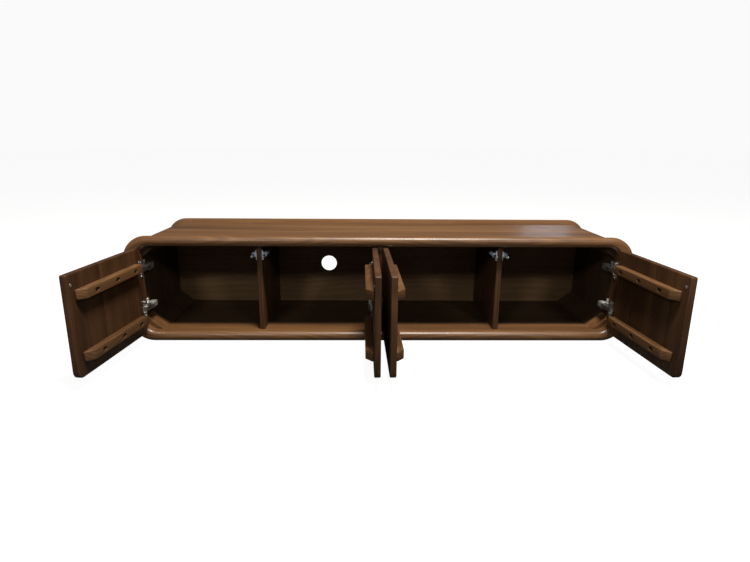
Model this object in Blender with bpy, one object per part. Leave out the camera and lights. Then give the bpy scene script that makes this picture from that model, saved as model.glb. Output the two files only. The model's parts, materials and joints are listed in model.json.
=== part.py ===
"""A low wooden TV stand with four hinged doors, shown with its doors open.

The stand is a long box with rounded ends. Its front and rear rims are rolled, and the top and the ends
between the rims are coved. Three partitions make four compartments, and each has a plank door on concealed
cup hinges with a long-stroke push latch. X runs along the stand, Y towards its back and Z up. The origin is
the centre of the flat underside. Every length is in metres.
"""

import math

import bmesh
import bpy

# Carcass
LENGTH = 1.800
DEPTH = 0.472
HEIGHT = 0.385
TOP_THICKNESS = 0.036
BOTTOM_THICKNESS = 0.036
SIDE_THICKNESS = 0.052
CORNER_RADIUS = 0.085
RIM_ROUND = min(0.017, min(TOP_THICKNESS, BOTTOM_THICKNESS, SIDE_THICKNESS) / 2 - 0.001)
COVE_DEPTH = 0.014
COVE_SLOPE = 0.055
STOP_RUN = 0.058
STOP_RISE = 0.046
OPENING_CORNER = 0.046
BACK_THICKNESS = 0.009
BACK_RECESS = 0.064
PARTITION_THICKNESS = 0.019
CENTRE_THICKNESS = 0.0195
CABLE_HOLE_RADIUS = 0.0325
CABLE_HOLE_X = -0.207
CABLE_HOLE_DROP = 0.146
FIT_GAP = 0.0003

# Doors
DOOR_THICKNESS = 0.019
DOOR_SETBACK = 0.0125
DOOR_EDGE_GAP = 0.002
DOOR_MEETING_GAP = 0.003
DOOR_BACK_GAP = 0.0015
DOOR_CORNER_RELIEF = 0.006
OPEN_ANGLES = {1: 95.4, 2: 90.5, 3: 88.5, 4: 93.5}
BATTEN_HEIGHT = 0.030
BATTEN_DEPTH = 0.025
BATTEN_START = 0.056
BATTEN_CLEARANCE = 0.0036
BATTEN_BEVEL = 0.022
BATTEN_LIP = 0.005
BATTEN_INSETS = {"lower": 0.060, "upper": 0.063}
STRIKE_WIDTH = 0.014
STRIKE_HEIGHT = 0.022
STRIKE_THICKNESS = 0.0010

# Concealed hinges
HINGE_INSETS = {"lower": 0.090, "upper": 0.076}
CUP_RADIUS = 0.0175
CUP_EDGE_WALL = 0.002
CUP_DEPTH = 0.0120
CUP_WALL = 0.0010
FLANGE_WIDTH = 0.026
FLANGE_HEIGHT = 0.064
FLANGE_THICKNESS = 0.0010
ARM_CLEARANCE = 0.0025
ARM_LENGTH = 0.056
ARM_FLOOR = 0.0105
ARM_REACH = 0.030
ARM_WIDTH = 0.021
ARM_WALL = 0.0015
PLATE_SETBACK = 0.0165
PLATE_LENGTH = 0.034
PLATE_HEIGHT = 0.044
PLATE_THICKNESS = 0.0025
PEDESTAL_WIDTH = 0.014
LINK_PIN_OFFSET = 0.0015
LINK_PIN_SINK = 0.005
LINK_SHORT = 0.010
LINK_LONG = 0.052
LINK_THICKNESS = 0.003
LINK_WIDTH = 0.015
LINK_EYE = 0.0025
LINK_TURN = 0.895

# Push latches
LATCH_INSET = 0.032
LATCH_BODY_WIDTH = 0.018
LATCH_BODY_HEIGHT = 0.026
LATCH_BODY_LENGTH = 0.060
LATCH_PLATE_HEIGHT = 0.044
LATCH_PLATE_LENGTH = 0.014
LATCH_PLATE_THICKNESS = 0.0025
LATCH_SETBACK = 0.002
PLUNGER_RADIUS = 0.0048
PLUNGER_OFFSET = 0.0095
PLUNGER_TRAVEL = 0.036
PLUNGER_TAIL = 0.014
PLUNGER_CLEARANCE = 0.0004

# Places that follow from the sizes above
FRONT = -DEPTH / 2
REAR = DEPTH / 2
FLOOR = BOTTOM_THICKNESS
CEILING = HEIGHT - TOP_THICKNESS
SIDE_FACE = LENGTH / 2 - SIDE_THICKNESS
CENTRE_FACE = CENTRE_THICKNESS / 2
BAY_WIDTH = (SIDE_FACE - CENTRE_FACE - PARTITION_THICKNESS) / 2
PARTITION_X = SIDE_FACE - BAY_WIDTH - PARTITION_THICKNESS / 2
PIVOT_Y = FRONT + DOOR_SETBACK
DOOR_WIDTH = BAY_WIDTH + (PARTITION_THICKNESS - DOOR_MEETING_GAP) / 2 - DOOR_EDGE_GAP
DOOR_BOTTOM = FLOOR + DOOR_EDGE_GAP
DOOR_TOP = CEILING - DOOR_EDGE_GAP
STOP_Y = PIVOT_Y + DOOR_THICKNESS + DOOR_BACK_GAP + 0.001
PARTITION_Y = PIVOT_Y + DOOR_THICKNESS + DOOR_BACK_GAP
BACK_Y = REAR - BACK_RECESS - BACK_THICKNESS
STRIKE_FACE = DOOR_THICKNESS + FIT_GAP + STRIKE_THICKNESS
SHUT_TIP_Y = PIVOT_Y + STRIKE_FACE + FIT_GAP
CABLE_HOLE_Z = CEILING - CABLE_HOLE_DROP
BATTEN_END = BAY_WIDTH - LATCH_BODY_WIDTH - BATTEN_CLEARANCE
CUP_CENTRE = DOOR_EDGE_GAP + CUP_EDGE_WALL + CUP_RADIUS
ARM_FRONT = DOOR_THICKNESS + ARM_CLEARANCE
PLATE_FRONT = ARM_FRONT + PLATE_SETBACK
LINK_PIN_U = CUP_CENTRE + LINK_PIN_OFFSET
LINK_PIN_DEPTH = DOOR_THICKNESS - LINK_PIN_SINK
LATCH_LEVEL = DOOR_TOP - LATCH_INSET



def levels(insets):
    """Heights measured up from the door's bottom edge and down from its top edge."""
    return {"lower": DOOR_BOTTOM + insets["lower"], "upper": DOOR_TOP - insets["upper"]}


HINGE_LEVELS = levels(HINGE_INSETS)
BATTEN_LEVELS = levels(BATTEN_INSETS)

# Each door: the X of its hinge line, and +1 where it shuts towards +X or -1 where it shuts towards -X.
HINGE_LINES = {
    1: (-SIDE_FACE, 1),
    2: (-CENTRE_FACE, -1),
    3: (CENTRE_FACE, 1),
    4: (SIDE_FACE, -1),
}


def material(name, colour, roughness, metallic=0.0):
    made = bpy.data.materials.new(name)
    made.use_nodes = True
    shader = made.node_tree.nodes["Principled BSDF"]
    shader.inputs["Base Color"].default_value = (*colour, 1.0)
    shader.inputs["Roughness"].default_value = roughness
    shader.inputs["Metallic"].default_value = metallic
    return made


def new_object(name, mesh, finish, parent=None):
    mesh.materials.append(finish)
    made = bpy.data.objects.new(name, mesh)
    made.parent = parent
    bpy.context.scene.collection.objects.link(made)
    return made


def new_empty(name, place, turn=0.0, parent=None):
    made = bpy.data.objects.new(name, None)
    made.empty_display_size = 0.03
    made.location = place
    made.rotation_euler = (0.0, 0.0, turn)
    made.parent = parent
    bpy.context.scene.collection.objects.link(made)
    return made


def loft(name, rings, smooth_angle=35.0):
    """A closed mesh through rings of equally many points, with a flat cap on the first and the last."""
    shape = bmesh.new()
    loops = [[shape.verts.new(point) for point in ring] for ring in rings]
    for near, far in zip(loops, loops[1:]):
        for i in range(len(near)):
            j = (i + 1) % len(near)
            shape.faces.new((near[i], near[j], far[j], far[i]))
    shape.faces.new(loops[0])
    shape.faces.new(loops[-1])
    bmesh.ops.remove_doubles(shape, verts=shape.verts, dist=1e-6)
    bmesh.ops.recalc_face_normals(shape, faces=shape.faces)
    mesh = bpy.data.meshes.new(name)
    shape.to_mesh(mesh)
    shape.free()
    mesh.shade_smooth()
    mesh.set_sharp_from_angle(angle=math.radians(smooth_angle))
    return mesh


def box_mesh(name, low, high):
    (x0, y0, z0), (x1, y1, z1) = low, high
    rings = [[(x0, y0, z), (x1, y0, z), (x1, y1, z), (x0, y1, z)] for z in (z0, z1)]
    return loft(name, rings)


def prism(name, outline, low, high, axis="Z"):
    """An outline of (a, b) points pushed from low to high along Z, or along Y for an outline in X and Z."""
    if axis == "Z":
        rings = [[(a, b, level) for a, b in outline] for level in (low, high)]
    else:
        rings = [[(a, level, b) for a, b in outline] for level in (low, high)]
    return loft(name, rings)


def arc(centre, radius, start, end, steps):
    """Points on an arc, in degrees, with both ends."""
    angles = [math.radians(start + (end - start) * i / steps) for i in range(steps + 1)]
    return [(centre[0] + radius * math.cos(a), centre[1] + radius * math.sin(a)) for a in angles]


def combine(target, name, mesh, operation):
    """Joins a hidden helper shape to the target, or cuts it out of it."""
    helper = bpy.data.objects.new(name, mesh)
    helper.parent = target.parent
    helper.display_type = "WIRE"
    helper.hide_render = True
    bpy.context.scene.collection.objects.link(helper)
    step = target.modifiers.new(name, "BOOLEAN")
    step.operation = operation
    step.solver = "EXACT"
    step.object = helper


# --- Carcass: one rim-to-rim section, pushed along the boards and turned round the corners ---


def carcass_section(outer, opening, stop, cove):
    """Points (y, distance out) of the section. The opening is where the door sits, the stop is behind it."""
    points = []
    for i in range(5):
        a = math.radians(22.5 * i)
        points.append((FRONT + RIM_ROUND * (1 - math.cos(a)), outer - RIM_ROUND * (1 - math.sin(a))))
    fall = [(i / 5, cove * (1 - math.cos(math.pi * i / 5)) / 2) for i in range(1, 6)]
    points += [(FRONT + RIM_ROUND + COVE_SLOPE * s, outer - drop) for s, drop in fall]
    points += [(REAR - RIM_ROUND - COVE_SLOPE * s, outer - drop) for s, drop in reversed(fall)]
    for i in range(5):
        a = math.radians(22.5 * i)
        points.append((REAR - RIM_ROUND * (1 - math.sin(a)), outer - RIM_ROUND * (1 - math.cos(a))))
    for i in range(4):
        a = math.radians(30 * i)
        points.append((REAR - RIM_ROUND * (1 - math.cos(a)), stop + RIM_ROUND * (1 - math.sin(a))))
    points += [(STOP_Y, stop), (STOP_Y, opening)]
    for i in range(4):
        a = math.radians(30 * i)
        points.append((FRONT + RIM_ROUND * (1 - math.sin(a)), opening + RIM_ROUND * (1 - math.cos(a))))
    return points


def board(name, base_ends, out, outer, inner, cove, finish):
    """A straight board: base_ends are the (x, z) points that its section is measured out from."""
    section = carcass_section(outer, inner, inner, cove)
    rings = [[(x + out[0] * d, y, z + out[1] * d) for y, d in section] for x, z in base_ends]
    return new_object(name, loft(name, rings), finish)


def opening_corner(thickness):
    """The opening's square corner, measured from the centre that the outside corner is turned about."""
    return CORNER_RADIUS - SIDE_THICKNESS, CORNER_RADIUS - thickness


def inner_reach(start, direction, thickness):
    """How far a ray goes to the opening, whose corner is rounded, and to the sloping stop behind the door."""
    right, top = opening_corner(thickness)
    square = min(
        (edge - at) / step for edge, at, step in zip((right, top), start, direction) if step > 1e-9
    )
    hit = [at + square * step for at, step in zip(start, direction)]
    centre = (right - OPENING_CORNER, top - OPENING_CORNER)
    opening = square
    if hit[0] > centre[0] + 1e-7 and hit[1] > centre[1] + 1e-7:
        offset = (start[0] - centre[0], start[1] - centre[1])
        along = offset[0] * direction[0] + offset[1] * direction[1]
        rest = offset[0] ** 2 + offset[1] ** 2 - OPENING_CORNER**2
        opening = min(square, -along + math.sqrt(along**2 - rest))
    normal = (STOP_RISE, STOP_RUN)
    level = normal[0] * right + normal[1] * (top - STOP_RISE)
    level -= normal[0] * start[0] + normal[1] * start[1]
    stop = level / (normal[0] * direction[0] + normal[1] * direction[1])
    return opening, min(stop, opening)


def corner_leads(thickness):
    """The straight lengths that the block runs on along the board and down the side to hold its stop."""
    right, top = opening_corner(thickness)
    return max(0.0, STOP_RUN - right), max(0.0, STOP_RISE - top)


def corner_rays(thickness):
    """The rays (start, degrees) that the block's sections lie on, from the board's end to the side's."""
    right, top = opening_corner(thickness)
    along, down = corner_leads(thickness)
    flats = sorted({-along, right - OPENING_CORNER})
    rays = [((x, 0.0), 90.0) for x in flats if -along <= x < 0.0]
    turns = {90.0 - 10.0 * i for i in range(10)}
    for run, rise in ((STOP_RUN, STOP_RISE), (OPENING_CORNER, OPENING_CORNER)):
        turns |= {math.degrees(math.atan2(top - rise, right)), math.degrees(math.atan2(top, right - run))}
    rays += [((0.0, 0.0), turn) for turn in sorted(turns, reverse=True) if 0.0 <= turn <= 90.0]
    drops = sorted({-down, top - OPENING_CORNER}, reverse=True)
    return rays + [((0.0, z), 0.0) for z in drops if -down <= z < 0.0]


def corner_block(name, side, upright, thickness, cove_at, finish):
    """A quarter-turned corner. side is -1 on the left, upright is +1 at the top."""
    centre = (LENGTH / 2 - CORNER_RADIUS, HEIGHT / 2 - CORNER_RADIUS)
    rings = []
    for start, degrees in corner_rays(thickness):
        out = (math.cos(math.radians(degrees)), math.sin(math.radians(degrees)))
        opening, stop = inner_reach(start, out, thickness)
        section = carcass_section(CORNER_RADIUS, opening, stop, COVE_DEPTH * cove_at(out))
        ring = []
        for y, distance in section:
            across = centre[0] + start[0] + out[0] * distance
            up = centre[1] + start[1] + out[1] * distance
            ring.append((side * across, y, HEIGHT / 2 + upright * up))
        rings.append(ring)
    return new_object(name, loft(name, rings), finish)


def make_carcass(wood, dark_wood):
    arc_x = LENGTH / 2 - CORNER_RADIUS
    top_lead, top_drop = corner_leads(TOP_THICKNESS)
    bottom_lead, bottom_rise = corner_leads(BOTTOM_THICKNESS)
    top_base = HEIGHT - CORNER_RADIUS
    end = arc_x - top_lead - FIT_GAP
    ends = [(-end, top_base), (end, top_base)]
    board("top_board", ends, (0, 1), CORNER_RADIUS, CORNER_RADIUS - TOP_THICKNESS, COVE_DEPTH, wood)
    end = arc_x - bottom_lead - FIT_GAP
    ends = [(-end, CORNER_RADIUS), (end, CORNER_RADIUS)]
    board("bottom_board", ends, (0, -1), CORNER_RADIUS, CORNER_RADIUS - BOTTOM_THICKNESS, 0.0, wood)
    low = CORNER_RADIUS + bottom_rise + FIT_GAP
    high = top_base - top_drop - FIT_GAP
    for side, label in ((-1, "left"), (1, "right")):
        ends = [(side * arc_x, low), (side * arc_x, high)]
        inner = CORNER_RADIUS - SIDE_THICKNESS
        board(f"side_{label}", ends, (side, 0), CORNER_RADIUS, inner, COVE_DEPTH, wood)
        corner_block(f"corner_top_{label}", side, 1, TOP_THICKNESS, lambda out: 1.0, wood)
        corner_block(f"corner_bottom_{label}", side, -1, BOTTOM_THICKNESS, lambda out: out[0] ** 2, wood)

    reach = SIDE_FACE - FIT_GAP
    low, high = FLOOR + FIT_GAP, CEILING - FIT_GAP
    run, rise = STOP_RUN, STOP_RISE
    panel = [(-reach + run, low), (reach - run, low), (reach, low + rise), (reach, high - rise)]
    panel += [(reach - run, high), (-reach + run, high), (-reach, high - rise), (-reach, low + rise)]
    back = prism("back_panel", panel, BACK_Y, BACK_Y + BACK_THICKNESS, "Y")
    back = new_object("back_panel", back, dark_wood)
    ring = arc((CABLE_HOLE_X, CABLE_HOLE_Z), CABLE_HOLE_RADIUS, 0, 352.5, 47)
    hole = prism("cable_hole_cutter", ring, BACK_Y - 0.01, BACK_Y + BACK_THICKNESS + 0.01, "Y")
    combine(back, "cable_hole_cutter", hole, "DIFFERENCE")

    places = (
        ("partition_left", -PARTITION_X, PARTITION_THICKNESS, PARTITION_Y),
        ("partition_centre", 0.0, CENTRE_THICKNESS, PIVOT_Y),
        ("partition_right", PARTITION_X, PARTITION_THICKNESS, PARTITION_Y),
    )
    for name, x, thickness, front in places:
        near = (x - thickness / 2, front, low)
        far = (x + thickness / 2, BACK_Y - FIT_GAP, high)
        new_object(name, box_mesh(name, near, far), dark_wood)


# --- Doors: built shut in (distance from the hinge line, depth behind the outer face, height) ---


def door_outline(hand, rounded):
    """The panel's outline in X and Z. An end door has rounded corners on its hinge side.

    They are rounder than the opening's, so that they clear the rolled rim as the door swings out.
    """
    near, far = DOOR_EDGE_GAP, DOOR_EDGE_GAP + DOOR_WIDTH
    outline = [(far, DOOR_BOTTOM), (far, DOOR_TOP)]
    if rounded:
        radius = OPENING_CORNER + DOOR_CORNER_RELIEF
        outline += arc((near + radius, DOOR_TOP - radius), radius, 90, 180, 8)
        outline += arc((near + radius, DOOR_BOTTOM + radius), radius, 180, 270, 8)
    else:
        outline += [(near, DOOR_TOP), (near, DOOR_BOTTOM)]
    return [(hand * u, z) for u, z in outline]


def ring_points(centre, radius, count=28):
    return arc(centre, radius, 0, 360 * (count - 1) / count, count - 1)


def rectangle_ring(centre, half_width, half_height, count=28):
    """Points on a rectangle, one on each ray from its centre, to match a round ring."""
    points = []
    for i in range(count):
        a = 2 * math.pi * i / count
        scale = min(half_width / max(abs(math.cos(a)), 1e-9), half_height / max(abs(math.sin(a)), 1e-9))
        points.append((centre[0] + scale * math.cos(a), centre[1] + scale * math.sin(a)))
    return points


def hinge_cup(name, hand, level, steel, parent):
    """A pressed cup, open to the inner face, with a flange that lies on that face."""
    centre = (hand * CUP_CENTRE, level)
    face = DOOR_THICKNESS + FIT_GAP
    bottom = DOOR_THICKNESS - CUP_DEPTH
    inner = CUP_RADIUS - CUP_WALL
    flange = rectangle_ring(centre, FLANGE_WIDTH / 2, FLANGE_HEIGHT / 2)
    lip = ring_points(centre, CUP_RADIUS)
    outlines = [
        (ring_points(centre, inner), bottom + CUP_WALL),
        (ring_points(centre, inner), face + FLANGE_THICKNESS),
        (widest(flange, lip, centre), face + FLANGE_THICKNESS),
        (widest(flange, lip, centre), face),
        (lip, face),
        (lip, bottom),
    ]
    rings = [[(a, depth, b) for a, b in outline] for outline, depth in outlines]
    return new_object(name, loft(name, rings), steel, parent)


def widest(outline, ring, centre):
    """Point by point, whichever of two matching outlines lies further out, plus a rim round the cup."""
    made = []
    for a, b in zip(outline, ring):
        reach_a = math.hypot(a[0] - centre[0], a[1] - centre[1])
        reach_b = math.hypot(b[0] - centre[0], b[1] - centre[1]) + 0.001
        scale = max(reach_a, reach_b) / reach_a
        made.append((centre[0] + (a[0] - centre[0]) * scale, centre[1] + (a[1] - centre[1]) * scale))
    return made


def make_link(name, hand, level, steel, parent):
    """An L-shaped link, round at its pin, with its short leg across the cup and its long leg to the arm."""
    half = LINK_THICKNESS / 2
    outline = arc((0, 0), LINK_EYE, 40, 320, 10)
    outline += [(LINK_SHORT + half, -half), (LINK_SHORT + half, LINK_LONG)]
    outline += [(LINK_SHORT - half, LINK_LONG), (LINK_SHORT - half, half)]
    outline = [(hand * a, b) for a, b in outline]
    mesh = prism(name, outline, level - LINK_WIDTH / 2, level + LINK_WIDTH / 2)
    return new_object(name, mesh, steel, parent)


def make_arm(name, hand, wall, level, steel):
    """A channel that takes the link's long leg, on a pedestal and a winged plate screwed to the wall."""

    def span(near, far, y0, y1, z0, z1):
        a, b = sorted((wall + hand * near, wall + hand * far))
        return (a, PIVOT_Y + y0, level + z0), (b, PIVOT_Y + y1, level + z1)

    half = ARM_WIDTH / 2
    base = ARM_FLOOR + ARM_WALL
    channel = [(ARM_FLOOR, -half), (ARM_REACH, -half), (ARM_REACH, ARM_WALL - half)]
    channel += [(base, ARM_WALL - half), (base, half - ARM_WALL), (ARM_REACH, half - ARM_WALL)]
    channel += [(ARM_REACH, half), (ARM_FLOOR, half)]
    outline = [(wall + hand * a, level + b) for a, b in channel]
    start = PIVOT_Y + ARM_FRONT
    arm = new_object(name, prism(name, outline, start, start + ARM_LENGTH, "Y"), steel)
    plate_end = PLATE_FRONT + PLATE_LENGTH
    wing = PLATE_HEIGHT / 2
    plate = span(FIT_GAP, PLATE_THICKNESS, PLATE_FRONT, plate_end, -wing, wing)
    foot = PEDESTAL_WIDTH / 2
    seat = ARM_FLOOR + ARM_WALL / 2
    inset = 0.004
    post = span(PLATE_THICKNESS / 2, seat, PLATE_FRONT + inset, plate_end - inset, -foot, foot)
    combine(arm, f"{name}_post", box_mesh(f"{name}_post", *post), "UNION")
    combine(arm, f"{name}_plate", box_mesh(f"{name}_plate", *plate), "UNION")


def make_batten(name, hand, level, wood, parent):
    """A horizontal bar across the planks. Its free end is bevelled."""
    face = DOOR_THICKNESS + FIT_GAP
    top = face + BATTEN_DEPTH
    outline = [(BATTEN_START, face), (BATTEN_END, face), (BATTEN_END, face + BATTEN_LIP)]
    outline += [(BATTEN_END - BATTEN_BEVEL, top), (BATTEN_START, top)]
    outline = [(hand * a, b) for a, b in outline]
    mesh = prism(name, outline, level - BATTEN_HEIGHT / 2, level + BATTEN_HEIGHT / 2)
    return new_object(name, mesh, wood, parent)


def make_door(number, wood, batten_wood, steel):
    line, hand = HINGE_LINES[number]
    opened = math.radians(OPEN_ANGLES[number])
    pivot = new_empty(f"door_{number}_pivot", (line, PIVOT_Y, 0.0), -hand * opened)
    name = f"door_{number}_panel"
    outline = door_outline(hand, number in (1, 4))
    panel = new_object(name, prism(name, outline, 0.0, DOOR_THICKNESS, "Y"), wood, pivot)
    pin = (hand * LINK_PIN_U, LINK_PIN_DEPTH, 0.0)
    link_pivot = new_empty(f"links_{number}_pivot", pin, hand * opened * LINK_TURN, pivot)
    for place, level in HINGE_LEVELS.items():
        bore = ring_points((hand * CUP_CENTRE, level), CUP_RADIUS + FIT_GAP)
        bottom = DOOR_THICKNESS - CUP_DEPTH - FIT_GAP
        cutter = prism(f"{name}_{place}_bore", bore, bottom, DOOR_THICKNESS + 0.01, "Y")
        combine(panel, f"{name}_{place}_bore", cutter, "DIFFERENCE")
        hinge_cup(f"door_{number}_hinge_cup_{place}", hand, level, steel, pivot)
        make_link(f"door_{number}_hinge_link_{place}", hand, level, steel, link_pivot)
        make_arm(f"door_{number}_hinge_arm_{place}", hand, line, level, steel)
    for place, level in BATTEN_LEVELS.items():
        make_batten(f"door_{number}_batten_{place}", hand, level, batten_wood, pivot)
    face = DOOR_THICKNESS + FIT_GAP
    middle = hand * (BAY_WIDTH - PLUNGER_OFFSET)
    low = (middle - STRIKE_WIDTH / 2, face, LATCH_LEVEL - STRIKE_HEIGHT / 2)
    high = (middle + STRIKE_WIDTH / 2, face + STRIKE_THICKNESS, LATCH_LEVEL + STRIKE_HEIGHT / 2)
    name = f"door_{number}_strike_plate"
    new_object(name, box_mesh(name, low, high), steel, pivot)


# --- Push latches: a body on the partition and a plunger that slides in it ---


def make_latch(number, plastic, steel):
    line, hand = HINGE_LINES[number]
    wall = line + hand * BAY_WIDTH
    front = PARTITION_Y + LATCH_SETBACK

    def span(near, far, y0, y1, half_height):
        a, b = sorted((wall - hand * near, wall - hand * far))
        return (a, front + y0, LATCH_LEVEL - half_height), (b, front + y1, LATCH_LEVEL + half_height)

    name = f"latch_{number}_body"
    case = span(FIT_GAP, LATCH_BODY_WIDTH, 0.0, LATCH_BODY_LENGTH, LATCH_BODY_HEIGHT / 2)
    body = new_object(name, box_mesh(name, *case), plastic)
    lug = span(FIT_GAP, LATCH_PLATE_THICKNESS, 0.0, LATCH_PLATE_LENGTH, LATCH_PLATE_HEIGHT / 2)
    combine(body, f"{name}_plate", box_mesh(f"{name}_plate", *lug), "UNION")
    axis = (wall - hand * PLUNGER_OFFSET, LATCH_LEVEL)
    bore_depth = SHUT_TIP_Y + PLUNGER_TRAVEL + PLUNGER_TAIL + 0.002
    bore = ring_points(axis, PLUNGER_RADIUS + PLUNGER_CLEARANCE, 20)
    cutter = prism(f"{name}_bore", bore, front - 0.01, bore_depth, "Y")
    combine(body, f"{name}_bore", cutter, "DIFFERENCE")

    tip = SHUT_TIP_Y - PLUNGER_TRAVEL
    pivot = new_empty(f"latch_{number}_slide", (axis[0], tip, LATCH_LEVEL))
    nose = PLUNGER_RADIUS * 0.45
    length = PLUNGER_TRAVEL + PLUNGER_TAIL
    outlines = [(PLUNGER_RADIUS - nose, 0.0), (PLUNGER_RADIUS - nose * 0.3, nose * 0.3)]
    outlines += [(PLUNGER_RADIUS, nose), (PLUNGER_RADIUS, length)]
    rings = [[(a, y, b) for a, b in ring_points((0, 0), radius, 20)] for radius, y in outlines]
    name = f"latch_{number}_plunger"
    new_object(name, loft(name, rings), steel, pivot)


def main():
    for item in list(bpy.data.objects):
        bpy.data.objects.remove(item, do_unlink=True)
    walnut = material("walnut", (0.085, 0.034, 0.014), 0.38)
    inner_walnut = material("walnut_inside", (0.050, 0.022, 0.011), 0.5)
    batten_wood = material("batten_wood", (0.16, 0.065, 0.025), 0.5)
    steel = material("nickelled_steel", (0.62, 0.62, 0.60), 0.25, 1.0)
    plastic = material("latch_plastic", (0.35, 0.38, 0.42), 0.4)
    make_carcass(walnut, inner_walnut)
    for number in HINGE_LINES:
        make_door(number, walnut, batten_wood, steel)
        make_latch(number, plastic, steel)


main()
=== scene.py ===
# %% [markdown]
# # A walnut TV stand with its doors open
# The stand is a long low box with rolled rims, coved between the rims, and four plank doors on cup hinges.
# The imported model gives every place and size, and each cell below makes one kind of piece or finish for it.
# Pieces are made by pushing a section along a line or an outline through a thickness, because that is how
# a joiner's cutters shape the real boards.

# %% Load the fixed frame
import json
import math
import random

import bmesh
import bpy
from mathutils import Matrix, Vector


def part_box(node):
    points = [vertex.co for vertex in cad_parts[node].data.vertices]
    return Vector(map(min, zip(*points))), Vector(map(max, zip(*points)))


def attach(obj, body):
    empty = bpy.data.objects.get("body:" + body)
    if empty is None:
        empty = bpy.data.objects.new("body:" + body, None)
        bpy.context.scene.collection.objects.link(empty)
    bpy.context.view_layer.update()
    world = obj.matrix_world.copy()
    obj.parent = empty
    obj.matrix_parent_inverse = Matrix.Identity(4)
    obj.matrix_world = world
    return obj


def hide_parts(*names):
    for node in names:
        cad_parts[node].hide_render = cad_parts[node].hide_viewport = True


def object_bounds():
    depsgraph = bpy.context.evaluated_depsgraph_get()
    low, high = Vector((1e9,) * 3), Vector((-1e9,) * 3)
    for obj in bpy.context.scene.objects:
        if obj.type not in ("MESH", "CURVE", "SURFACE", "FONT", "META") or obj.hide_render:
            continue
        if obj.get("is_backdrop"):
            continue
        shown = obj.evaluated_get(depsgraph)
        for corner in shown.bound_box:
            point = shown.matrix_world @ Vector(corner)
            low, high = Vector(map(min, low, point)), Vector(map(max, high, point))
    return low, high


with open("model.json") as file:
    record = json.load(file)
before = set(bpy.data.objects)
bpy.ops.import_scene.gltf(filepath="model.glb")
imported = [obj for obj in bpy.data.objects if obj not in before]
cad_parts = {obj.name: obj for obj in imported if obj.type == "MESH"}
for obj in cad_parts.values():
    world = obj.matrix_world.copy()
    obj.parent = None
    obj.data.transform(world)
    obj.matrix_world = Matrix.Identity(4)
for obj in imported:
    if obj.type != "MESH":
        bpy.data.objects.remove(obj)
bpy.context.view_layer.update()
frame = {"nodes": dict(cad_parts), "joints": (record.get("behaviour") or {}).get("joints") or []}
joints = {joint["name"]: joint for joint in frame["joints"]}

# %% [markdown]
# ## Driving sizes
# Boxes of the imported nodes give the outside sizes. The roundings, the cove, the corner stops and the door's
# thickness are stated here, because a box can't tell them. They are the joiner's cutter and gauge sizes.

# %% Read the sizes from the frame
top_low, top_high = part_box("top_board")
bottom_low, bottom_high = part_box("bottom_board")
corner_low, corner_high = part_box("corner_top_left")
side_low, side_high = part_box("side_left")
partition_low, partition_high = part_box("partition_left")
FRONT, REAR, HEIGHT = top_low.y, top_high.y, top_high.z
HALF_LENGTH = -corner_low.x
FLOOR, CEILING = bottom_high.z, top_low.z
SIDE_THICKNESS = side_high.x - side_low.x
SIDE_FACE = HALF_LENGTH - SIDE_THICKNESS
CORNER_RADIUS = corner_high.z - corner_low.z
RIM_ROUND = 0.017
COVE_DEPTH = 0.014
COVE_SLOPE = 0.055
STOP_RUN = 0.058
STOP_RISE = 0.046
STOP_SETBACK = 0.001
STOP_Y = partition_low.y + STOP_SETBACK
OPENING_CORNER = 0.046
DOOR_THICKNESS = 0.019
DOORS = (1, 2, 3, 4)
LEVELS = ("lower", "upper")
print(f"{2 * HALF_LENGTH:.3f} long, {REAR - FRONT:.3f} deep, {HEIGHT:.3f} high")

# %% [markdown]
# ## The camera
# It stands a little left of the middle, about as high as a table, and looks slightly down with a wide lens,
# so the open doors spread towards it.

# %% Set the camera
CAMERA_PLACE = Vector((-0.050, FRONT - 1.8168, 0.7046))
CAMERA_LENS = 25.47
LOOK_DOWN, LOOK_RIGHT, LEAN = 14.67, 1.02, 0.41

camera = bpy.data.objects.new("camera", bpy.data.cameras.new("camera"))
turn = Matrix.Rotation(math.radians(-LOOK_RIGHT), 4, "Z")
tilt = Matrix.Rotation(math.radians(90 - LOOK_DOWN), 4, "X")
lean = Matrix.Rotation(math.radians(LEAN), 4, "Z")
camera.matrix_world = Matrix.Translation(CAMERA_PLACE) @ turn @ tilt @ lean
camera.data.lens = CAMERA_LENS
bpy.context.scene.collection.objects.link(camera)
bpy.context.scene.camera = camera
print("the camera is", round(CAMERA_PLACE.length, 2), "m from the stand's origin")

# %% [markdown]
# ## Node helpers
# A node tree is easier to read when one line makes a node and one line joins two. Where a helper below takes
# a value, it may be a plain number or colour, or a (node, output) pair, and then that output is joined.

# %% Helpers for node trees
def add_node(tree, kind, **settings):
    made = tree.nodes.new(kind)
    for name, value in settings.items():
        if name in made.inputs:
            made.inputs[name].default_value = value
        else:
            setattr(made, name, value)
    return made


def join(tree, source, output, target, socket):
    tree.links.new(source.outputs[output], target.inputs[socket])


def feed(tree, value, target, socket):
    """Joins a (node, output) pair to the socket, or sets the socket to a plain value."""
    if isinstance(value, tuple) and isinstance(value[0], bpy.types.Node):
        join(tree, *value, target, socket)
    elif value is not None:
        target.inputs[socket].default_value = value


def math_node(tree, operation, first, second=None):
    made = add_node(tree, "ShaderNodeMath", operation=operation)
    feed(tree, first, made, 0)
    feed(tree, second, made, 1)
    return made


def blend(tree, share, first, second, way="MIX"):
    """A mix of two colours."""
    made = add_node(tree, "ShaderNodeMix", data_type="RGBA", blend_type=way)
    for value, socket in ((share, "Factor"), (first, "A"), (second, "B")):
        feed(tree, value, made, socket)
    return made


def spread(tree, value, low, high, **settings):
    """Carries a value from low..high to 0..1."""
    made = add_node(tree, "ShaderNodeMapRange", **settings)
    made.inputs["From Min"].default_value = low
    made.inputs["From Max"].default_value = high
    feed(tree, value, made, "Value")
    return made


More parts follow.
